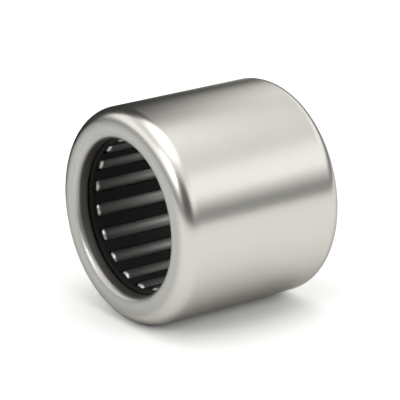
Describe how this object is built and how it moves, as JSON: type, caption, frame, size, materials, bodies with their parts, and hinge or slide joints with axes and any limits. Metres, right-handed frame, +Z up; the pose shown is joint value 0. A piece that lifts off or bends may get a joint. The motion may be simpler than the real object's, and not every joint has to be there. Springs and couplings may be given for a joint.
{
  "type": "needle roller bearing",
  "caption": "Drawn-cup needle roller bearing: a round steel cup with turned-in lips, open right through, lined with slim rollers in a black cage.",
  "frame": {"origin": "centre of the bearing, on its axis and halfway along its width", "axes": "Y along the bearing axis, with the stamped front lip at -Y; +Z up as the bearing lies on its side on a surface"},
  "size_m": [0.018, 0.0158, 0.018],
  "materials": {
    "cup_steel": "satin ground bearing steel, lightly oiled",
    "cage_black": "black oxide on steel, satin, oiled",
    "roller_steel": "polished bearing steel under a film of oil"
  },
  "bodies": {
    "outer_cup": {"outer_cup": "cup_steel"},
    "cage": {"cage": "cage_black"},
    "needle_roller_01": {"needle_roller_01": "roller_steel"},
    "needle_roller_02": {"needle_roller_02": "roller_steel"},
    "needle_roller_03": {"needle_roller_03": "roller_steel"},
    "needle_roller_04": {"needle_roller_04": "roller_steel"},
    "needle_roller_05": {"needle_roller_05": "roller_steel"},
    "needle_roller_06": {"needle_roller_06": "roller_steel"},
    "needle_roller_07": {"needle_roller_07": "roller_steel"},
    "needle_roller_08": {"needle_roller_08": "roller_steel"},
    "needle_roller_09": {"needle_roller_09": "roller_steel"},
    "needle_roller_10": {"needle_roller_10": "roller_steel"},
    "needle_roller_11": {"needle_roller_11": "roller_steel"},
    "needle_roller_12": {"needle_roller_12": "roller_steel"},
    "needle_roller_13": {"needle_roller_13": "roller_steel"},
    "needle_roller_14": {"needle_roller_14": "roller_steel"},
    "needle_roller_15": {"needle_roller_15": "roller_steel"},
    "needle_roller_16": {"needle_roller_16": "roller_steel"},
    "needle_roller_17": {"needle_roller_17": "roller_steel"},
    "needle_roller_18": {"needle_roller_18": "roller_steel"},
    "needle_roller_19": {"needle_roller_19": "roller_steel"}
  },
  "joints": [
    {"name": "cage_spin", "type": "hinge", "parent": "outer_cup", "child": "cage", "pos_m": [0, 0, 0], "axis": [0, 1, 0], "continuous": true},
    {"name": "needle_roller_01_spin", "type": "hinge", "parent": "cage", "child": "needle_roller_01", "pos_m": [0.00674, 0, 0.00039], "axis": [0, 1, 0], "continuous": true},
    {"name": "needle_roller_02_spin", "type": "hinge", "parent": "cage", "child": "needle_roller_02", "pos_m": [0.0065, 0, -0.00182], "axis": [0, 1, 0], "continuous": true},
    {"name": "needle_roller_03_spin", "type": "hinge", "parent": "cage", "child": "needle_roller_03", "pos_m": [0.00556, 0, -0.00383], "axis": [0, 1, 0], "continuous": true},
    {"name": "needle_roller_04_spin", "type": "hinge", "parent": "cage", "child": "needle_roller_04", "pos_m": [0.00401, 0, -0.00543], "axis": [0, 1, 0], "continuous": true},
    {"name": "needle_roller_05_spin", "type": "hinge", "parent": "cage", "child": "needle_roller_05", "pos_m": [0.00203, 0, -0.00644], "axis": [0, 1, 0], "continuous": true},
    {"name": "needle_roller_06_spin", "type": "hinge", "parent": "cage", "child": "needle_roller_06", "pos_m": [-0.00017, 0, -0.00675], "axis": [0, 1, 0], "continuous": true},
    {"name": "needle_roller_07_spin", "type": "hinge", "parent": "cage", "child": "needle_roller_07", "pos_m": [-0.00235, 0, -0.00633], "axis": [0, 1, 0], "continuous": true},
    {"name": "needle_roller_08_spin", "type": "hinge", "parent": "cage", "child": "needle_roller_08", "pos_m": [-0.00428, 0, -0.00522], "axis": [0, 1, 0], "continuous": true},
    {"name": "needle_roller_09_spin", "type": "hinge", "parent": "cage", "child": "needle_roller_09", "pos_m": [-0.00574, 0, -0.00355], "axis": [0, 1, 0], "continuous": true},
    {"name": "needle_roller_10_spin", "type": "hinge", "parent": "cage", "child": "needle_roller_10", "pos_m": [-0.00658, 0, -0.00149], "axis": [0, 1, 0], "continuous": true},
    {"name": "needle_roller_11_spin", "type": "hinge", "parent": "cage", "child": "needle_roller_11", "pos_m": [-0.00671, 0, 0.00073], "axis": [0, 1, 0], "continuous": true},
    {"name": "needle_roller_12_spin", "type": "hinge", "parent": "cage", "child": "needle_roller_12", "pos_m": [-0.00611, 0, 0.00287], "axis": [0, 1, 0], "continuous": true},
    {"name": "needle_roller_13_spin", "type": "hinge", "parent": "cage", "child": "needle_roller_13", "pos_m": [-0.00485, 0, 0.00469], "axis": [0, 1, 0], "continuous": true},
    {"name": "needle_roller_14_spin", "type": "hinge", "parent": "cage", "child": "needle_roller_14", "pos_m": [-0.00306, 0, 0.00602], "axis": [0, 1, 0], "continuous": true},
    {"name": "needle_roller_15_spin", "type": "hinge", "parent": "cage", "child": "needle_roller_15", "pos_m": [-0.00094, 0, 0.00668], "axis": [0, 1, 0], "continuous": true},
    {"name": "needle_roller_16_spin", "type": "hinge", "parent": "cage", "child": "needle_roller_16", "pos_m": [0.00128, 0, 0.00663], "axis": [0, 1, 0], "continuous": true},
    {"name": "needle_roller_17_spin", "type": "hinge", "parent": "cage", "child": "needle_roller_17", "pos_m": [0.00336, 0, 0.00585], "axis": [0, 1, 0], "continuous": true},
    {"name": "needle_roller_18_spin", "type": "hinge", "parent": "cage", "child": "needle_roller_18", "pos_m": [0.00508, 0, 0.00445], "axis": [0, 1, 0], "continuous": true},
    {"name": "needle_roller_19_spin", "type": "hinge", "parent": "cage", "child": "needle_roller_19", "pos_m": [0.00625, 0, 0.00256], "axis": [0, 1, 0], "continuous": true}
  ],
  "couplings": [
    {"joint": "needle_roller_01_spin", "follows": "cage_spin", "ratio": -10},
    {"joint": "needle_roller_02_spin", "follows": "cage_spin", "ratio": -10},
    {"joint": "needle_roller_03_spin", "follows": "cage_spin", "ratio": -10},
    {"joint": "needle_roller_04_spin", "follows": "cage_spin", "ratio": -10},
    {"joint": "needle_roller_05_spin", "follows": "cage_spin", "ratio": -10},
    {"joint": "needle_roller_06_spin", "follows": "cage_spin", "ratio": -10},
    {"joint": "needle_roller_07_spin", "follows": "cage_spin", "ratio": -10},
    {"joint": "needle_roller_08_spin", "follows": "cage_spin", "ratio": -10},
    {"joint": "needle_roller_09_spin", "follows": "cage_spin", "ratio": -10},
    {"joint": "needle_roller_10_spin", "follows": "cage_spin", "ratio": -10},
    {"joint": "needle_roller_11_spin", "follows": "cage_spin", "ratio": -10},
    {"joint": "needle_roller_12_spin", "follows": "cage_spin", "ratio": -10},
    {"joint": "needle_roller_13_spin", "follows": "cage_spin", "ratio": -10},
    {"joint": "needle_roller_14_spin", "follows": "cage_spin", "ratio": -10},
    {"joint": "needle_roller_15_spin", "follows": "cage_spin", "ratio": -10},
    {"joint": "needle_roller_16_spin", "follows": "cage_spin", "ratio": -10},
    {"joint": "needle_roller_17_spin", "follows": "cage_spin", "ratio": -10},
    {"joint": "needle_roller_18_spin", "follows": "cage_spin", "ratio": -10},
    {"joint": "needle_roller_19_spin", "follows": "cage_spin", "ratio": -10}
  ]
}
